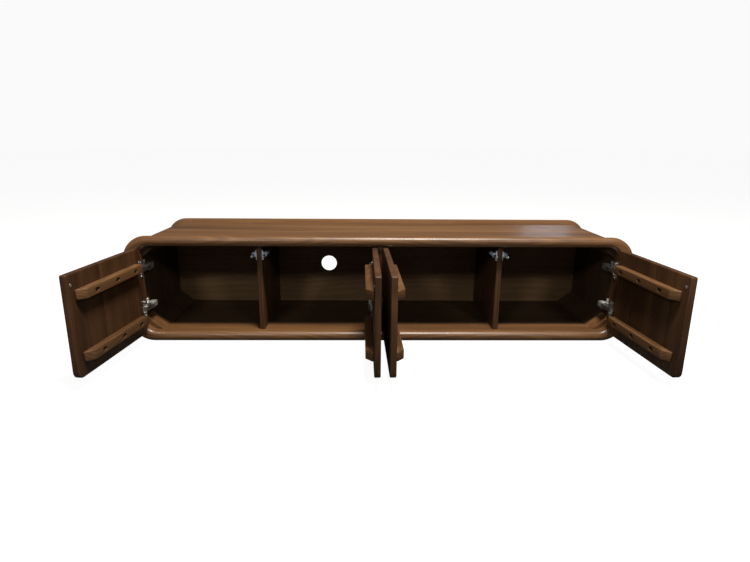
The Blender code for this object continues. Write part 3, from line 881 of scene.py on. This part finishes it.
# %% Make the door planks
SEAMS = (0.127, 0.250, 0.335)
SEAM_JITTER = 0.009
SEAM_SHARES = (0.25, 0.75, 0.25)
PERIMETER_ROUND = 0.0028
CUP_RADIUS = 0.0178
CUP_CENTRE = 0.0215
BORE_START = DOOR_THICKNESS - 0.0123


def weigh_edges(mesh, seams):
    """Edge weights for rounding: full round the outside, less along a seam, none through the thickness."""
    weights = mesh.attributes.new("bevel_weight_edge", "FLOAT", "EDGE")
    for edge in mesh.edges:
        a, b = (mesh.vertices[i].co for i in edge.vertices)
        if abs(a.y - b.y) > 1e-6:
            continue
        ends = (abs(a.x), abs(b.x))
        shares = [share for s, share in zip(seams, SEAM_SHARES) if sum(abs(u - s) for u in ends) < 1e-5]
        weights.data[edge.index].value = shares[0] if shares else 1.0


def hinge_levels(number):
    cups = [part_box(f"door_{number}_hinge_cup_{label}") for label in LEVELS]
    return [(low.z + high.z) / 2 for low, high in cups]


def make_door_panel(number):
    place, hand = door_place(number)
    body, name = f"door_{number}", f"door_{number}_panel"
    low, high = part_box(name)
    outline = door_outline(low.z, high.z, DOOR_ROUND if number in (1, 4) else HINGE_CORNER)
    seams = [seam + dice.uniform(-SEAM_JITTER, SEAM_JITTER) for seam in SEAMS]
    limits = [0.0] + seams + [2 * DOOR_WIDTH]
    for index, (start, end) in enumerate(zip(limits, limits[1:])):
        plank = clip(clip(outline, start, 1), end, -1)
        mesh = loft(f"{body}_plank", [[(hand * u, y, z) for u, z in plank] for y in (0.0, DOOR_THICKNESS)])
        weigh_edges(mesh, seams)
        piece = link_new(f"{body}_plank_{index + 1}", mesh)
        round_edges(piece, PERIMETER_ROUND, 4, "WEIGHT")
        if index == 0:
            bore = (CUP_RADIUS, "Y", BORE_START, DOOR_THICKNESS + CUT_PAST, 48)
            levels = hinge_levels(number)
            cut_out(piece, [rod_mesh("bore", hand * CUP_CENTRE, level, *bore) for level in levels])
        finish_wood(piece, door_walnut, lambda p: (p.z, p.x, p.y), body, name, place)
    return len(limits) - 1


print("planks:", [make_door_panel(number) for number in DOORS])

# %% [markdown]
# ## Battens
# A batten keeps the planks flat. It is a bar with eased edges and a bevelled free end, so it passes the
# latch. Its three screws sit in black slotted bushings, let in below the face, so the planks can move with
# the seasons.

# %% Make the battens
BATTEN_BEVEL = 0.022
BATTEN_LIP = 0.006
BATTEN_START = 0.056
BATTEN_END = 0.388
BATTEN_SCREWS = (0.100, 0.209, 0.319)
BATTEN_ROUND = 0.0022
SLOT_RADIUS = 0.0062
SLOT_REACH = 0.0050
SLOT_DEPTH = 0.015
BUSHING_GAP = 0.0003
BUSHING_SINK = 0.0035
BATTEN_FACE = DOOR_THICKNESS + 0.0003
BATTEN_TOP = BATTEN_FACE + 0.025


def slot_mesh(u, level, floor, top, shrink):
    """A long hole's shape with round ends, from floor to top and a little smaller all round."""
    ring = arc((u + SLOT_REACH, level), SLOT_RADIUS - shrink, -90, 90, 10)
    ring += arc((u - SLOT_REACH, level), SLOT_RADIUS - shrink, 90, 270, 10)
    return loft("slot", [[(a, y, z) for a, z in ring] for y in (floor, top)])


def make_batten(number, label):
    place, hand = door_place(number)
    name = f"door_{number}_batten_{label}"
    low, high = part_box(name)
    outline = [(BATTEN_START, BATTEN_FACE), (BATTEN_END, BATTEN_FACE), (BATTEN_END, BATTEN_FACE + BATTEN_LIP)]
    outline += [(BATTEN_END - BATTEN_BEVEL, BATTEN_TOP), (BATTEN_START, BATTEN_TOP)]
    rings = [[(hand * u, y, z) for u, y in outline] for z in (low.z, high.z)]
    piece = link_new(f"{name}_wood", loft(name, rings))
    middle = (low.z + high.z) / 2
    floor = BATTEN_TOP - SLOT_DEPTH
    round_edges(piece, BATTEN_ROUND)
    cut_out(piece, [slot_mesh(hand * u, middle, floor, BATTEN_TOP + CUT_PAST, 0.0) for u in BATTEN_SCREWS])
    body = f"door_{number}"
    finish_wood(piece, batten_walnut, lambda p: (p.x, p.z, p.y), body, name, place)
    face = BATTEN_TOP - BUSHING_SINK
    bushing = slot_mesh(0.0, 0.0, floor + 0.0002, face, BUSHING_GAP)
    spots = [place @ Matrix.Translation((hand * u, 0, middle)) for u in BATTEN_SCREWS]
    gather(f"{name}_bushings", bushing, bushing_black, body, spots)
    heads = [place @ Matrix.Translation((hand * u, face, middle)) @ facing((0, 1, 0)) for u in BATTEN_SCREWS]
    gather(f"{name}_screws", wide_screw, black_screw, body, heads)


for number in DOORS:
    for label in LEVELS:
        make_batten(number, label)
print("eight battens")

# %% [markdown]
# ## A hinge arm
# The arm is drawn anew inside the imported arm's box: a winged plate screwed to the wall, a base on it, and a
# crowned arm whose front stays open between two cheeks, where the link goes in. The plate, the base and the
# arm are rounded rectangles stacked away from the wall, which gives the soft edges of pressed steel. A cheek
# is a flat outline with round front corners.

# %% Draw a hinge arm
PLATE_FACE = 0.0025
ARM_HALF_WIDTH = 0.0105
ARM_START, ARM_END = 0.0065, 0.038
ARM_BASE = 0.010
CROWN = ((0.0022, 0.0), (0.0009, 0.0006), (0.0002, 0.0018), (0.0, 0.0034))  # below the edge, and drawn in
WING_CORNER, BASE_CORNER, ARM_CORNER = 0.005, 0.002, 0.0036
CHEEK_THICKNESS = 0.0015
CHEEK_ROUND = 0.004
WING_HALF_HEIGHT = 0.022
WING_START, WING_END = 0.012, 0.030
BASE_HALF_HEIGHT = 0.0075
BASE_SHORTER = 0.004
OVERLAP = 0.001


def rounded_rectangle(y0, y1, half, radius, level):
    """Points (y, z) round a rectangle with round corners, centred on a level."""
    ring = []
    corners = ((y1 - radius, 1), (y0 + radius, 1), (y0 + radius, -1), (y1 - radius, -1))
    for quarter, (y, side) in enumerate(corners):
        ring += arc((y, side * (half - radius)), radius, 90 * quarter, 90 * quarter + 90, 5)
    return [(y, level + z) for y, z in ring]


def hinge_arm(wall, edge, hand, front, level):
    """The plate, base, arm and cheeks, from the wall to the edge that faces the opening."""

    def slab(start, end, half, radius, steps):
        rings = []
        for x, inset in steps:
            y0, y1 = front + start + inset, front + end - inset
            rings.append([(x, y, z) for y, z in rounded_rectangle(y0, y1, half - inset, radius, level)])
        return loft("slab", rings)

    root = wall + hand * ARM_BASE
    plate = ((wall, 0), (wall + hand * PLATE_FACE, 0))
    base = ((wall + hand * OVERLAP, 0), (root + hand * OVERLAP, 0))
    crown = ((root, 0), *((edge - hand * below, inset) for below, inset in CROWN))
    parts = [
        slab(WING_START, WING_END, WING_HALF_HEIGHT, WING_CORNER, plate),
        slab(ARM_START, ARM_END - BASE_SHORTER, BASE_HALF_HEIGHT, BASE_CORNER, base),
        slab(ARM_START, ARM_END, ARM_HALF_WIDTH, ARM_CORNER, crown),
    ]
    rear = front + ARM_START + CHEEK_ROUND
    turn = arc((0, front + CHEEK_ROUND), CHEEK_ROUND, 180, 270, 5)
    nose = [(root + hand * (CHEEK_ROUND + x), y) for x, y in turn]
    tip = [(edge - hand * (CHEEK_ROUND + x), y) for x, y in reversed(turn)]
    outline = nose + tip + [(edge, rear), (root, rear)]
    for side in (-1, 1):
        limits = [level + side * reach for reach in (ARM_HALF_WIDTH - CHEEK_THICKNESS, ARM_HALF_WIDTH)]
        parts.append(loft("cheek", [[(x, y, z) for x, y in outline] for z in limits]))
    return joined_mesh("arm", parts)


print("an arm is", ARM_END - ARM_START, "long")

# %% [markdown]
# ## Hinges
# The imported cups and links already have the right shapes, so they keep their meshes and get eased edges and
# plating. The cup's pin is a short rod that the link turns on, and small screws hold each flange and wing.

# %% Finish the hinges
FLANGE_FACE = DOOR_THICKNESS + 0.0013
FLANGE_SCREW_REACH = 0.0245
WING_SCREW_REACH = 0.016
PIN_U, PIN_DEPTH, PIN_RADIUS, PIN_HALF = 0.023, 0.014, 0.0017, 0.0155
CUP_ROUND, LINK_ROUND, ARM_ROUND = 0.0003, 0.0005, 0.0003


def dress(node, finish, width=0.0):
    """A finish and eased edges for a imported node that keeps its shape."""
    piece = frame["nodes"][node]
    piece.data.materials.clear()
    piece.data.materials.append(finish)
    if width:
        round_edges(piece, width, 2)


def make_hinge(number, label, level):
    """Dresses the cup and the link, makes the arm, and tells where the screws and the pin go."""
    place, hand = door_place(number)
    name = f"door_{number}_hinge"
    dress(f"{name}_cup_{label}", nickel, CUP_ROUND)
    dress(f"{name}_link_{label}", nickel, LINK_ROUND)
    flange = [(hand * CUP_CENTRE, FLANGE_FACE, level + side * FLANGE_SCREW_REACH) for side in (-1, 1)]
    heads = [place @ Matrix.Translation(spot) @ facing((0, 1, 0)) for spot in flange]
    pin = place @ Matrix.Translation((hand * PIN_U, PIN_DEPTH, level))
    low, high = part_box(f"{name}_arm_{label}")
    wall, edge = (low.x, high.x) if hand > 0 else (high.x, low.x)
    x, y = wall + hand * PLATE_FACE, low.y + (WING_START + WING_END) / 2
    wing = [(x, y, level + side * WING_SCREW_REACH) for side in (-1, 1)]
    arm_heads = [Matrix.Translation(spot) @ facing((hand, 0, 0)) for spot in wing]
    mesh = hinge_arm(wall, edge, hand, low.y, level)
    arm = gather(f"door_{number}_arm_{label}", mesh, satin_nickel, "carcass")
    round_edges(arm, ARM_ROUND, 2)
    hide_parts(f"{name}_arm_{label}")
    return heads, arm_heads, pin


pin_mesh = rod_mesh("pin", 0, 0, PIN_RADIUS, "Z", -PIN_HALF, PIN_HALF, 16)
for number in DOORS:
    body = f"door_{number}"
    spots = [make_hinge(number, label, level) for label, level in zip(LEVELS, hinge_levels(number))]
    cup_heads, arm_heads = (sum((hinge[i] for hinge in spots), []) for i in (0, 1))
    pins = [hinge[2] for hinge in spots]
    gather(f"{body}_cup_screws", small_screw, nickel, body, cup_heads)
    gather(f"{body}_arm_screws", small_screw, nickel, "carcass", arm_heads)
    gather(f"{body}_hinge_pins", pin_mesh, nickel, body, pins)
print("eight hinges")

# %% [markdown]
# ## A latch's body
# A long-stroke push latch stands at the front of each partition: a turned barrel in the saddle of a moulded
# bracket, which has a round-cornered lug above and below. The barrel and the strike are profiles turned
# about the plunger's axis, because both are round about it.

# %% Draw the latch parts
LUG_FACE = 0.0025
LUG_LENGTH = 0.014
LUG_HALF_HEIGHT = 0.0175
LUG_ROUND = 0.004
SADDLE_GAP = 0.0058
SADDLE_HALF_HEIGHT = 0.006
SADDLE_LAP, SADDLE_SETBACK = 0.0002, 0.001
BRACKET_ROUND = 0.0004
BARREL_PROFILE = ((0.0053, 0.0008), (0.0058, 0.0), (0.0070, 0.0), (0.0077, 0.0007), (0.0077, 0.0042))
BARREL_PROFILE += ((0.0071, 0.0048), (0.0071, 0.0520), (0.0076, 0.0526), (0.0076, 0.0588))
BARREL_PROFILE += ((0.0069, 0.0595), (0.0053, 0.0595))
STRIKE_PROFILE = ((0.0016, 0.0), (0.0056, 0.0), (0.0056, 0.0006), (0.0051, 0.0010))
STRIKE_PROFILE += ((0.0030, 0.0010), (0.0016, 0.0001))


def turned_mesh(name, profile, sides=40):
    """A closed ring of the profile (radius, y) turned about the Y axis."""
    shape = bmesh.new()
    slices = []
    for i in range(sides):
        a = 2 * math.pi * i / sides
        slices.append([shape.verts.new((r * math.cos(a), y, r * math.sin(a))) for r, y in profile])
    for near, far in zip(slices, slices[1:] + slices[:1]):
        for i in range(len(profile)):
            j = (i + 1) % len(profile)
            shape.faces.new((near[i], near[j], far[j], far[i]))
    return shaded_mesh(name, shape)


def bracket_mesh(wall, hand, front, rear, level, axis):
    """The plate against the partition, with round lugs, and the saddle that holds the barrel."""
    ring = rounded_rectangle(front, front + LUG_LENGTH, LUG_HALF_HEIGHT, LUG_ROUND, level)
    plate = loft("plate", [[(x, y, z) for y, z in ring] for x in (wall, wall - hand * LUG_FACE)])
    near, far = sorted((wall - hand * SADDLE_LAP, axis + hand * SADDLE_GAP))
    below, above = level - SADDLE_HALF_HEIGHT, level + SADDLE_HALF_HEIGHT
    low = Vector((near, front + SADDLE_SETBACK, below))
    high = Vector((far, rear - SADDLE_SETBACK, above))
    return joined_mesh("bracket", [plate, box_mesh("saddle", low, high)])


print("a barrel's profile has", len(BARREL_PROFILE), "points")

# %% [markdown]
# ## Latches and strikes
# The bright plunger slides in the barrel, and the magnet in its tip holds the steel strike on the door. The
# strike is a dished disc with one sunk screw, so nothing stands proud where the plunger lands.

# %% Finish the latches
LUG_SCREW_REACH = 0.0130
LUG_DROP = 0.0025
MAGNET_RADIUS, MAGNET_SINK, MAGNET_END = 0.0026, 0.0002, 0.004
STRIKE_FOOT = 0.0005
STRIKE_SINK = 0.0001


def make_latch(number, hand):
    name = f"latch_{number}"
    dress(f"{name}_plunger", zinc_painted_sky)
    low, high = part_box(f"{name}_body")
    wall = high.x if hand > 0 else low.x
    level = (low.z + high.z) / 2
    tip_low, tip_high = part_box(f"{name}_plunger")
    axis = (tip_low.x + tip_high.x) / 2
    here = Matrix.Translation((axis, low.y, level))
    turned = turned_mesh("barrel", BARREL_PROFILE)
    barrel = gather(f"{name}_barrel", turned, latch_grey_painted_sky, "carcass", [here])
    lugs = level - LUG_DROP
    moulded = bracket_mesh(wall, hand, low.y, high.y, lugs, axis)
    bracket = gather(f"{name}_bracket", moulded, latch_white, "carcass")
    round_edges(bracket, BRACKET_ROUND, 2)
    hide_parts(f"{name}_body")
    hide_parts(f"{name}_body")
    x, y = wall - hand * LUG_FACE, low.y + LUG_LENGTH / 2
    screws = [(x, y, lugs + side * LUG_SCREW_REACH) for side in (-1, 1)]
    heads = [Matrix.Translation(spot) @ facing((-hand, 0, 0)) for spot in screws]
    gather(f"{name}_screws", small_screw, nickel, "carcass", heads)
    ends = (tip_low.y + MAGNET_SINK, tip_low.y + MAGNET_END)
    magnet = rod_mesh("magnet", axis, level, MAGNET_RADIUS, "Y", *ends, 24)
    gather(f"{name}_magnet", magnet, black_screw, f"{name}_plunger")


def make_strike(number, place):
    body = f"door_{number}"
    plate = frame["nodes"][f"{body}_strike_plate"].data.vertices
    centre = place.inverted() @ (sum((v.co for v in plate), Vector()) / len(plate))
    foot = place @ Matrix.Translation((centre.x, centre.y - STRIKE_FOOT, centre.z))
    dished = turned_mesh("strike", STRIKE_PROFILE)
    strike = gather(f"{body}_strike", dished, nickel, body, [foot])
    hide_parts(f"{body}_strike_plate")
    head = foot @ Matrix.Translation((0, STRIKE_SINK, 0)) @ facing((0, 1, 0))
    gather(f"{body}_strike_screw", pin_screw, nickel, body, [head])


for number in DOORS:
    place, hand = door_place(number)
    make_latch(number, hand)
    make_strike(number, place)
print("four latches")

# %% [markdown]
# ## Floor
# A pale floor sets off the dark wood, but a floor that shed as much light as it shows would fill the shade in
# the compartments. So its glow is for the camera alone, and to every other ray it is dark.

# %% Lay the floor
FLOOR_REACH = 60.0
FLOOR_DROP = 0.0008
FLOOR_GLOW = 0.93
FLOOR_SHADE, FLOOR_SHADE_SEEN = 0.07, 0.13

floor_mesh = bpy.data.meshes.new("floor")
square = [(FLOOR_REACH * x, FLOOR_REACH * y, 0) for x, y in ((-1, -1), (1, -1), (1, 1), (-1, 1))]
floor_mesh.from_pydata(square, [], [(0, 1, 2, 3)])
floor = link_new("floor", floor_mesh)
floor.location.z = -FLOOR_DROP
floor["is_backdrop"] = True
pale, tree, shader = new_finish("pale_floor")
shader.inputs["Roughness"].default_value = 0.8
shader.inputs["Specular IOR Level"].default_value = 0.1
shader.inputs["Emission Color"].default_value = (1.0, 1.0, 1.0, 1.0)
seen = add_node(tree, "ShaderNodeLightPath")
glow = math_node(tree, "MULTIPLY", (seen, "Is Camera Ray"), FLOOR_GLOW)
join(tree, glow, 0, shader, "Emission Strength")
shade = math_node(tree, "MULTIPLY", (seen, "Is Camera Ray"), FLOOR_SHADE_SEEN)
shade = math_node(tree, "ADD", (shade, 0), FLOOR_SHADE)
join(tree, shade, 0, shader, "Base Color")
floor_mesh.materials.append(pale)
print("the floor is laid")

# %% [markdown]
# ## Lamps and sky
# One long lamp hangs over the front of the stand, two weak ones fill from the front, and a small cool one
# stands behind. The sky is nearly white to the eye and dim for the light that it sheds.

# %% Hang the lamps
SKY_SHED, SKY_SEEN = 0.07, 0.955


def soft_light(name, place, target, width, height, power, tint):
    data = bpy.data.lights.new(name, "AREA")
    data.shape = "RECTANGLE"
    data.size, data.size_y = width, height
    data.energy = power
    data.color = tint
    lamp = bpy.data.objects.new(name, data)
    lamp.location = place
    lamp.rotation_euler = (Vector(target) - Vector(place)).to_track_quat("-Z", "Y").to_euler()
    bpy.context.scene.collection.objects.link(lamp)


warm, cool = (1.0, 0.98, 0.93), (0.72, 0.84, 1.0)
soft_light("overhead", (0.42, -1.20, 3.6), (0.1, -0.2, 0.2), 1.0, 0.22, power=235, tint=(1.0, 0.95, 0.88))
soft_light("front_left", (-1.3, -3.3, 2.0), (-0.2, 0, 0.2), 0.5, 0.3, power=25, tint=warm)
soft_light("front_right", (1.5, -3.4, 2.1), (0.2, 0, 0.2), 0.5, 0.3, power=24, tint=warm)
soft_light("rear_window", (1.65, 2.9, 0.98), (0.5, -0.1, 0.38), 0.4, 0.3, power=1.1, tint=cool)
bpy.context.scene.view_settings.view_transform = "Standard"
world = bpy.data.worlds.new("studio")
bpy.context.scene.world = world
world.use_nodes = True
sky = world.node_tree
background = sky.nodes["Background"]
background.inputs["Color"].default_value = (1, 1, 1, 1)
rays = add_node(sky, "ShaderNodeLightPath")
strength = add_node(sky, "ShaderNodeMapRange")
strength.inputs["To Min"].default_value = SKY_SHED
strength.inputs["To Max"].default_value = SKY_SEEN
join(sky, rays, "Is Camera Ray", strength, "Value")
join(sky, strength, "Result", background, "Strength")
print("four lights and a white sky")

# %% [markdown]
# ## The size
# The box round the finished model is printed.

# %% Write the sizes and finish
low, high = (list(corner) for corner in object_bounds())
print("visual box", [round(v, 4) for v in low + high])
